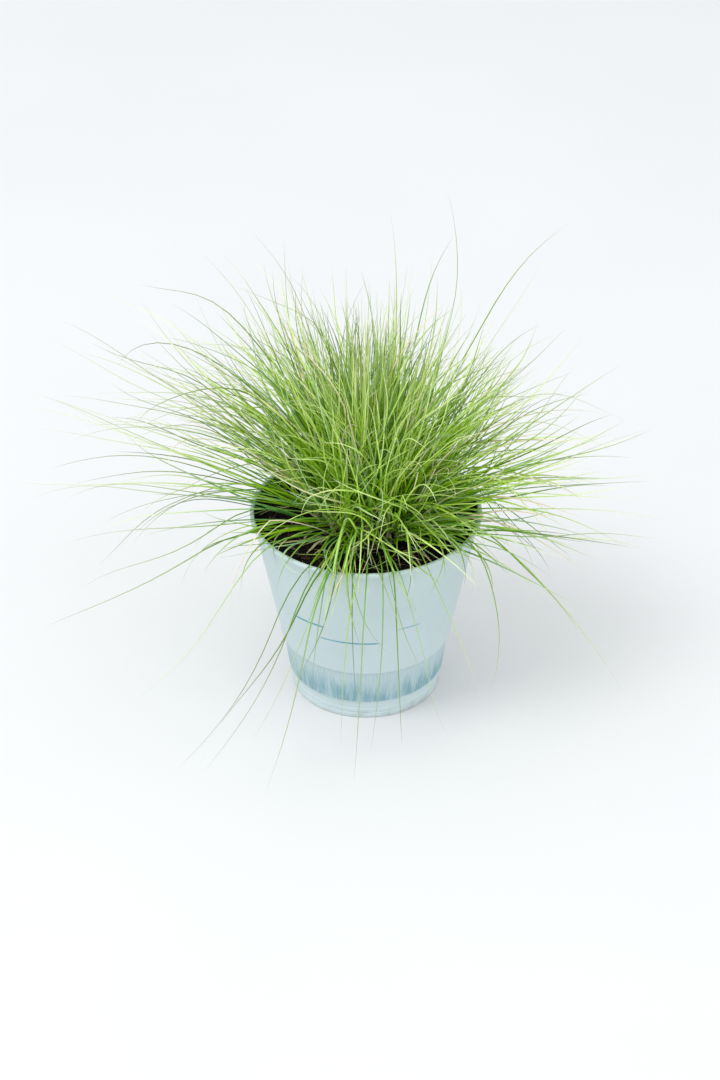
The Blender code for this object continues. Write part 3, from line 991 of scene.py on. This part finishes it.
def tuft_feet():
    """Where the CAD tillers stand on the crown, as radius and azimuth, ring by ring."""
    centre = np.array([0.0, 0.0, CROWN_CENTRE])
    for name, count in TILLERS.items():
        for number in range(count):
            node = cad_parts[f"tiller_{name}_{number + 1:02d}"]
            points = np.array([vertex.co[:] for vertex in node.data.vertices])
            away = np.linalg.norm(points - centre, axis=1)
            foot = points[away < CROWN_BALL + 0.0012].mean(axis=0)
            yield name, math.hypot(foot[0], foot[1]), math.atan2(foot[1], foot[0])


def round_clump(azimuth, values):
    """A value read from a table round the clump."""
    return np.interp((np.degrees(azimuth) + 180) % 360 - 180, SIDE_AZIMUTH, values)


def scatter_shoots():
    """Foot, place from middle to edge, azimuth, lean and sheath length of every shoot, tuft by tuft."""
    tufts = []
    for name, tuft_radius, tuft_azimuth in tuft_feet():
        count = TUFT_SHOOTS[name]
        if name in ("outer", "skirt"):
            wanted = count * float(round_clump(tuft_azimuth, SIDE_SHARE))
            count = max(1, int(wanted + chance.uniform(0, 1)))
        x = tuft_radius * math.cos(tuft_azimuth) + chance.normal(0, TUFT_SPREAD, count)
        y = tuft_radius * math.sin(tuft_azimuth) + chance.normal(0, TUFT_SPREAD, count)
        lean_up, lean_round, tone, blue = chance.normal((0, 0, 0, -0.05), (6.5, 17.0, 0.13, 0.26))
        shared = (lean_up, lean_round, tone, max(0.0, blue))
        tufts.append(np.stack(np.broadcast_arrays(np.hypot(x, y), np.arctan2(y, x), *shared)))
    radius, azimuth, lean_up, lean_round, tone, blue = np.concatenate(tufts, axis=1)
    radius = np.clip(radius, 0.0003, SHOOT_DISC)
    count = len(radius)
    place = radius / SHOOT_DISC
    launch = np.interp(place, RING_PLACE, RING_LAUNCH) + lean_up + chance.normal(0, 5.0, count)
    launch = launch + round_clump(azimuth, SIDE_LIFT) * np.clip((place - 0.30) / 0.45, 0, 1)
    launch = np.radians(np.where(launch > STEEPEST, 2 * STEEPEST - launch, launch))
    turn = lean_round + chance.normal(0, 11.0, count)
    lean = azimuth + np.radians(turn) / np.maximum(np.cos(launch), 0.35)
    sheath = np.interp(place, [0, 1], [0.0125, 0.0080]) * chance.uniform(0.75, 1.3, count)
    return {
        "foot": dome_point(radius, azimuth, -0.0006),
        "place": place,
        "azimuth": lean,
        "sheath": sheath,
        "growth": heading(launch, lean),
        "tone": tone,
        "blue": blue,
    }


def make_sheaths(shoots, material):
    """A tapered sheath round the foot of every shoot."""
    steps = 7
    count = len(shoots["place"])
    share = np.linspace(0, 1, steps)[None, :]
    reach = shoots["sheath"][:, None] * share
    paths = shoots["foot"][:, None, :] + shoots["growth"][:, None, :] * reach[..., None]
    paths[..., 2] -= 0.06 * (1 - share) * share * reach
    frames = path_frames(paths, np.repeat(shoots["azimuth"][:, None], steps, axis=1))
    widths = chance.uniform(0.00078, 0.00100, (count, 1)) * [0.92, 1.0, 0.98, 0.94, 0.88, 0.80, 0.4]
    old = np.clip(chance.uniform(0, 1, count) + 0.25 * (shoots["place"] > 0.85), 0, 1)
    return build_tubes("shoot_sheaths", paths, frames, widths, circle(8, 0.85), 4, material, tone=old)


def make_straws(material):
    """Old straw-coloured sheaths and leaf ends lying on the mix, most of them at the left and front."""
    toward = np.radians(chance.choice(STRAW_AZIMUTHS, STRAWS, p=STRAW_SHARES))
    angle = toward + chance.normal(0, 0.30, STRAWS)
    radius = chance.uniform(CROWN_RADIUS * 0.92, CROWN_RADIUS + 0.010, STRAWS)
    azimuth = angle + chance.normal(0, 0.55, STRAWS)
    steps = 11
    paths = lying_paths(steps, radius, angle, azimuth, (0.010, 0.026), (0.0005, 0.0020), 0.5)
    rim = float(wall_inside(SOIL_TOP)) - 0.0016
    for _ in range(12):
        outside = plan_radius(paths) > rim
        middle = paths[:, :1, :]
        paths[outside] = middle[outside] + (paths[outside] - middle[outside]) * 0.88
    paths = paths[plan_radius(paths) <= rim]
    count = len(paths)
    taper = np.clip(1.15 * np.sin(math.pi * (0.16 + 0.80 * np.linspace(0, 1, steps))), 0, 1)
    return build_tubes(
        "straw_bits",
        paths,
        path_frames(paths),
        chance.uniform(0.00035, 0.00080, (count, 1)) * taper,
        STRAW_SECTION,
        2,
        material,
        tone=chance.uniform(0.0, 0.5, count),
        blue=np.zeros(count),
        dead=chance.uniform(0.35, 0.9, count),
    )


# Leaves


def leaf_shares():
    """Places along a leaf where it has a ring of vertices, closer together at the tip."""
    share = np.linspace(0, 1, LEAF_STEPS)
    return 1 - (1 - share) ** 1.12


def leaf_paths(leaves):
    """Points along every leaf, and its azimuth there."""
    fine = 4
    share = np.interp(np.arange((LEAF_STEPS - 1) * fine + 1) / fine, np.arange(LEAF_STEPS), leaf_shares())
    middle = ((share[1:] + share[:-1]) / 2)[None, :]
    stride = np.diff(share)[None, :]
    of = {key: value[:, None] for key, value in leaves.items()}
    ramp = np.clip((middle - of["bend_from"]) / of["bend_over"], 0, 1)
    bending = np.where(of["hangs"], ramp * ramp * (3 - 2 * ramp), middle ** of["bend_power"])
    wave = of["wave"] * np.sin(math.tau * (of["wave_pitch"] * middle + of["wave_start"]))
    kink = of["kink"] * np.clip((middle - of["kink_from"]) / 0.06, 0, 1)
    elevation = of["launch"] - of["bend"] * bending + wave * middle - kink
    azimuth = of["azimuth"] + of["sway"] * middle**1.5
    points = walked(leaves["start"], heading(elevation, azimuth) * (stride * of["length"])[..., None])
    return points, of["azimuth"] + of["sway"] * share[None, :] ** 1.5, fine


def faults(points):
    """Which leaves touch the pot or its mix, and which reach the floor or leave the box."""
    free = points[:, FOOT_POINTS:]
    radius = np.hypot(free[..., 0], free[..., 1])
    height = free[..., 2]
    by_wall = (radius > wall_inside(height) - POT_CLEAR) & (radius < wall_outside(height) + POT_CLEAR)
    in_wall = (height < POT_HEIGHT + POT_CLEAR) & by_wall
    in_mix = (height < SOIL_TOP + POT_CLEAR) & (radius < wall_inside(height))
    floor = (height < FLOOR_CLEAR).any(axis=1)
    outside = ((free < BOX_LOW) | (free > BOX_HIGH)).any(axis=(1, 2))
    return (in_wall | in_mix).any(axis=1), floor | outside


def settle(leaves):
    """Raises each leaf that would cut the pot, shortens one that reaches too far, and drops the rest."""
    for _ in range(SETTLE_TRIES):
        touches, too_far = faults(leaf_paths(leaves)[0])
        if not (touches | too_far).any():
            break
        leaves["launch"] = leaves["launch"] + np.radians(SETTLE_RAISE) * touches
        leaves["length"] = leaves["length"] * np.where(too_far, SETTLE_SHORTEN, 1.0)
    touches, too_far = faults(leaf_paths(leaves)[0])
    return chosen(leaves, ~(touches | too_far) & (leaves["length"] > SHORTEST_LEAF))


def chosen(leaves, mask):
    """The leaves that a mask keeps."""
    return {key: value[mask] for key, value in leaves.items()}


def joined(*parts):
    """Several sets of leaves as one."""
    return {key: np.concatenate([part[key] for part in parts]) for key in parts[0]}


def arching(count):
    """Settings of leaves that arch from the foot on and don't hang."""
    return {"bend_from": np.zeros(count), "bend_over": np.ones(count), "hangs": np.zeros(count, bool)}


def shoot_leaves(shoots):
    """Three to five leaves out of every sheath."""
    shoot_count = len(shoots["place"])
    per_shoot = chance.choice(LEAVES_PER_SHOOT, shoot_count, p=PER_SHOOT_SHARES)
    owner = np.repeat(np.arange(shoot_count), per_shoot)
    count = len(owner)
    growth = shoots["growth"][owner]
    astray = np.where(chance.uniform(0, 1, count) < ASTRAY_SHARE, 0.36, 0.140)
    direction = unit(growth + chance.normal(0, 1, (count, 3)) * astray[:, None])
    place = shoots["place"][owner]
    azimuth = np.arctan2(direction[:, 1], direction[:, 0])
    outward = np.clip((place - 0.25) / 0.5, 0, 1)
    side = 1 + (round_clump(azimuth, SIDE_LENGTH) - 1) * outward
    slender = 1 + (round_clump(azimuth, SIDE_WIDTH) - 1) * outward
    stretch = 0.68 + 0.44 * chance.beta(1.6, 2.0, count)
    young = chance.uniform(0, 1, count) < YOUNG_SHARE
    stretch = np.where(young, chance.uniform(0.38, 0.72, count), stretch)
    long = chance.uniform(0, 1, count) < LONG_SHARE
    stretch = np.where(long, stretch * chance.uniform(1.08, 1.28, count), stretch)
    bend = np.radians(np.interp(place, RING_PLACE, RING_BEND)) * chance.uniform(-0.9, 2.6, count)
    bend = bend + np.radians(round_clump(azimuth, SIDE_DROOP)) * outward
    swaying = chance.uniform(0, 1, count) < SWAYING_SHARE
    kinked = chance.uniform(0, 1, count) < KINKED_SHARE
    top = shoots["foot"][owner] + growth * (shoots["sheath"][owner] * 0.72)[:, None]
    return {
        **arching(count),
        "start": top + chance.normal(0, 0.00020, (count, 3)),
        "place": place,
        "launch": np.arcsin(np.clip(direction[:, 2], -1, 1)),
        "azimuth": azimuth,
        "length": LEAF_LENGTH * stretch * side,
        "bend": bend,
        "bend_power": chance.uniform(1.0, 2.1, count),
        "sway": chance.normal(0, np.radians(24), count) * np.where(swaying, 2.4, 1.0),
        "wave": np.radians(chance.uniform(0, 18.0, count)),
        "wave_pitch": chance.uniform(0.7, 1.6, count),
        "wave_start": chance.uniform(0, 1, count),
        "kink": np.where(kinked, np.radians(chance.uniform(15, 50, count)), 0.0),
        "kink_from": chance.uniform(0.35, 0.8, count),
        "width": chance.uniform(*SHOOT_WIDTH, count) * np.where(long, 0.85, 1.0) * slender,
        "twist": chance.normal(0, 0.9, count),
        "tone": np.clip(chance.normal(0.5, 0.27, count) + shoots["tone"][owner], 0, 1),
        "blue": np.where(
            chance.uniform(0, 1, count) < BLUE_SHARE, chance.uniform(0.4, 1, count), shoots["blue"][owner]
        ),
        "dead": np.clip(chance.uniform(-14.0, 1.0, count), 0, 1) ** 0.7,
    }


def drawn_rows(table, draw):
    """One drawn row for each leaf that a table asks for, column by column."""
    rows = []
    for azimuth, spread, count, *span in table:
        for _ in range(count):
            rows.append((math.radians(azimuth + chance.normal(0, spread)), *draw(*span)))
    return np.array(rows).T


def hanging_leaves(table):
    """Leaves that lie across the rim and hang down outside the pot."""

    def draw(bend_low, bend_high, short, long, aside):
        bend = math.radians(chance.uniform(bend_low, bend_high))
        length = chance.uniform(short, long)
        return bend, length, math.radians(chance.normal(aside, 14 if aside else 30))

    azimuth, bend, length, sway = drawn_rows(table, draw)
    count = len(length)
    short = length < SHORT_HANGING
    launch = np.radians(chance.uniform(6, 22, count))
    return {
        "start": dome_point(SHOOT_DISC - chance.uniform(0, 0.004, count), azimuth, 0.0004),
        "place": np.ones(count),
        "launch": launch,
        "azimuth": azimuth + chance.normal(0, 0.05, count),
        "length": length,
        "bend": bend + launch * 0.6,
        "bend_power": np.ones(count),
        "bend_from": chance.uniform(0.08, 0.18, count),
        "bend_over": chance.uniform(0.26, 0.46, count),
        "hangs": np.ones(count, bool),
        "sway": sway,
        "wave": np.radians(chance.uniform(0, 18.0, count)),
        "wave_pitch": chance.uniform(0.7, 1.5, count),
        "wave_start": chance.uniform(0, 1, count),
        "kink": np.zeros(count),
        "kink_from": np.full(count, 0.5),
        "width": chance.uniform(*HANGING_WIDTH, count) * np.where(short, 1.75, 1.0),
        "twist": chance.normal(0, 1.2, count),
        "tone": np.clip(chance.normal(0.34, 0.18, count) + 0.32 * short, 0, 1),
        "blue": chance.uniform(0.15, 0.95, count) * np.where(short, 0.5, 1.0),
        "dead": np.where((chance.uniform(0, 1, count) < 0.06) & short, 1.0, 0.0),
    }


def dead_leaves(count):
    """Dry leaves among the living ones, thinner, lower and more crooked."""
    azimuth = chance.uniform(0, math.tau, count)
    place = np.sqrt(chance.uniform(0.15, 1.0, count))
    launch = np.radians(np.interp(place, RING_PLACE, RING_LAUNCH) - chance.uniform(0, 12, count))
    return {
        **arching(count),
        "start": dome_point(place * SHOOT_DISC, azimuth, 0.0006),
        "place": place,
        "launch": launch,
        "azimuth": azimuth + chance.normal(0, 0.35, count),
        "length": chance.uniform(0.035, 0.110, count),
        "bend": np.radians(chance.uniform(15, 85, count)),
        "bend_power": chance.uniform(0.9, 2.0, count),
        "sway": chance.normal(0, np.radians(32), count),
        "wave": np.radians(chance.uniform(2, 14.0, count)),
        "wave_pitch": chance.uniform(0.9, 2.2, count),
        "wave_start": chance.uniform(0, 1, count),
        "kink": np.radians(chance.choice([0, 0, 35, 60], count)),
        "kink_from": chance.uniform(0.3, 0.8, count),
        "width": chance.uniform(*DRY_WIDTH, count),
        "twist": chance.normal(0, 3.0, count),
        "tone": chance.uniform(0, 1, count),
        "blue": np.zeros(count),
        "dead": np.ones(count),
    }


def low_leaves(table):
    """Single leaves that leave the clump low down and reach far out over the rim."""

    def draw(low, high, short, long):
        return math.radians(chance.uniform(low, high)), short + (long - short) * chance.beta(1.2, 1.7)

    azimuth, launch, length = drawn_rows(table, draw)
    count = len(length)
    short = length < SHORT_LOW
    return {
        **dead_leaves(count),
        "start": dome_point(SHOOT_DISC - chance.uniform(0, 0.007, count), azimuth, 0.0004),
        "place": np.ones(count),
        "launch": launch,
        "azimuth": azimuth + chance.normal(0, 0.06, count),
        "length": length,
        "bend": np.radians(chance.uniform(6, 50, count)),
        "sway": chance.normal(0, 1, count) * np.radians(np.where(short, 62, 22)),
        "wave": np.radians(chance.uniform(0, 15.0, count)),
        "kink": np.zeros(count),
        "width": chance.uniform(*LOW_WIDTH, count) * np.where(short, 1.15, 1.0),
        "twist": chance.normal(0, 1.2, count),
        "tone": np.clip(chance.normal(0.38, 0.20, count) + 0.16 * short, 0, 1),
        "blue": np.where(chance.uniform(0, 1, count) < 0.45, chance.uniform(0.4, 1, count), 0.08),
        "dead": np.where(chance.uniform(0, 1, count) < 0.03, 1.0, 0.0),
    }


def stray_leaves(count):
    """Thin crooked leaves that stand out of the clump, most of them at the left."""
    toward = chance.choice(STRAY_AZIMUTHS, count, p=STRAY_SHARES)
    azimuth = np.radians(toward + chance.normal(0, 14, count))
    leaves = dead_leaves(count)
    place = chance.uniform(0.45, 1.0, count)
    return {
        **leaves,
        "place": place,
        "start": dome_point(place * SHOOT_DISC, azimuth, 0.0006),
        "launch": np.radians(chance.uniform(28, 74, count)),
        "azimuth": azimuth + chance.normal(0, 0.2, count),
        "length": chance.uniform(0.095, 0.155, count),
        "bend": np.radians(chance.uniform(-10, 95, count)),
        "sway": chance.normal(0, np.radians(48), count),
        "wave": np.radians(chance.uniform(4, 24, count)),
        "kink": np.zeros(count),
        "width": chance.uniform(*STRAY_WIDTH, count),
        "tone": chance.uniform(0.05, 0.50, count),
        "blue": chance.uniform(0, 0.8, count),
        "dead": np.clip(chance.uniform(-0.8, 0.45, count), 0, 1),
    }


def thinned(leaves):
    """Leaves out some of the outer leaves, most of them at the left and back."""
    outward = np.clip((leaves["place"] - 0.30) / 0.40, 0, 1)
    share = 1 + (round_clump(leaves["azimuth"], SIDE_KEPT) - 1) * outward
    draw = np.random.default_rng(THINNING_SEED).uniform(0, 1, len(share))
    return chosen(leaves, draw < share)


def make_leaves(name, leaves, material):
    """One joined mesh of the given leaves."""
    points, azimuth, fine = leaf_paths(leaves)
    side, facing = path_frames(points, azimuth)
    paths = points[:, ::fine]
    side = side[:, ::fine]
    facing = facing[:, ::fine]
    share = leaf_shares()
    turn = (leaves["twist"][:, None] * share)[..., None]
    frames = (side * np.cos(turn) + facing * np.sin(turn), facing * np.cos(turn) - side * np.sin(turn))
    profile = (0.80 + 0.20 * np.clip(share / 0.18, 0, 1)) * np.clip(1 - share**2.0, 0, 1) ** 0.80
    widths = leaves["width"][:, None] * np.maximum(profile, 0.07)
    rows = max(1, round(math.sqrt(len(paths) / 18)))
    labelled = {label: leaves[label] for label in ("tone", "blue", "dead")}
    return build_tubes(name, paths, frames, widths, LEAF_SECTION, rows, material, share, **labelled)


def make_clump(shoots):
    """The leaves, one mesh for each ring of CAD tillers that it stands for, the dry leaves and the straw."""
    green = leaf_material()
    leaves = thinned(settle(shoot_leaves(shoots)))
    hanging = [settle(hanging_leaves(HANGING)), settle(low_leaves(LOW))]
    hanging += [settle(hanging_leaves(FRONT_BUNDLE)), settle(stray_leaves(STRAYS))]
    dry = make_leaves("leaves_dry", settle(dead_leaves(DRY_LEAVES)), green)
    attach(dry, "root")
    straws = make_straws(green)
    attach(straws, "root")
    hanging += [settle(low_leaves(FAR_LEFT)), settle(low_leaves(OVER_RIM))]
    low = 0.0
    for name, high in zip(TILLERS, RING_EDGES):
        mine = chosen(leaves, (leaves["place"] >= low) & (leaves["place"] < high))
        if name == "skirt":
            mine = joined(mine, *hanging)
        low = high
        piece = make_leaves(f"leaves_{name}", mine, green)
        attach(piece, "root")
        tillers = [f"tiller_{name}_{number + 1:02d}" for number in range(TILLERS[name])]
        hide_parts(*tillers)


def make_base_pieces(shoots):
    """Pot, potting mix, crown and sheaths."""
    pot = make_pot(pot_material())
    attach(pot, "root")
    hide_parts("pot")
    peat = soil_material()
    body = make_soil(peat)
    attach(body, "root")
    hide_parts("soil")
    crumbs = make_crumbs(peat)
    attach(crumbs, "root")
    fibres = make_fibres(fibre_material())
    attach(fibres, "root")
    crown = make_crown(crown_material())
    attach(crown, "root")
    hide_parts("crown")
    sheaths = make_sheaths(shoots, sheath_material())
    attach(sheaths, "root")


# Stage


def make_floor():
    """A wide pale floor."""
    n = Nodes("floor", 0.75)
    n.colour(n.mix(n.fade(n.noise(3.0, 3.0), 0.3, 0.7), FLOOR_GREY, FLOOR_PALE))
    n.bump(n.noise(220.0, 3.0), 0.0002, 0.2)
    half = 6.0
    corners = np.array([(-half, -half, 0), (half, -half, 0), (half, half, 0), (-half, half, 0)], float)
    floor = build_mesh("floor", corners, [np.array([[0, 1, 2, 3]])], n.material, smooth=False)


def aim(thing, place, target):
    """Puts a lamp or the camera into the scene, turned to its target."""
    thing.location = place
    thing.rotation_euler = (Vector(target) - Vector(place)).to_track_quat("-Z", "Y").to_euler()
    bpy.context.scene.collection.objects.link(thing)


def area_light(name, place, size, power, colour):
    """A soft round lamp turned to the clump."""
    data = bpy.data.lights.new(name, "AREA")
    data.shape = "DISK"
    data.size = size
    data.energy = power
    data.color = colour
    aim(bpy.data.objects.new(name, data), place, (0.0, 0.0, 0.1))


def light_stage():
    """Soft white surroundings, a key lamp and a fill lamp."""
    world = bpy.data.worlds.new("studio")
    world.use_nodes = True
    background = world.node_tree.nodes["Background"]
    background.inputs["Color"].default_value = (0.965, 0.985, 1.0, 1.0)
    background.inputs["Strength"].default_value = 1.14
    bpy.context.scene.world = world
    area_light("key", (-0.9, -0.7, 1.9), 0.8, 20.0, (1.0, 0.99, 0.97))
    area_light("fill", (1.3, -0.9, 1.2), 1.3, 5.0, (0.97, 0.985, 1.0))
    bpy.context.scene.view_settings.view_transform = "Standard"
    bpy.context.scene.view_settings.look = "None"


def place_camera():
    """The camera at the photograph's angle."""
    data = bpy.data.cameras.new("camera")
    data.lens = LENS
    camera = bpy.data.objects.new("camera", data)
    aim(camera, CAMERA_PLACE, CAMERA_AIM)
    bpy.context.scene.camera = camera


shoots = scatter_shoots()
make_base_pieces(shoots)
make_clump(shoots)
make_floor()
light_stage()
place_camera()
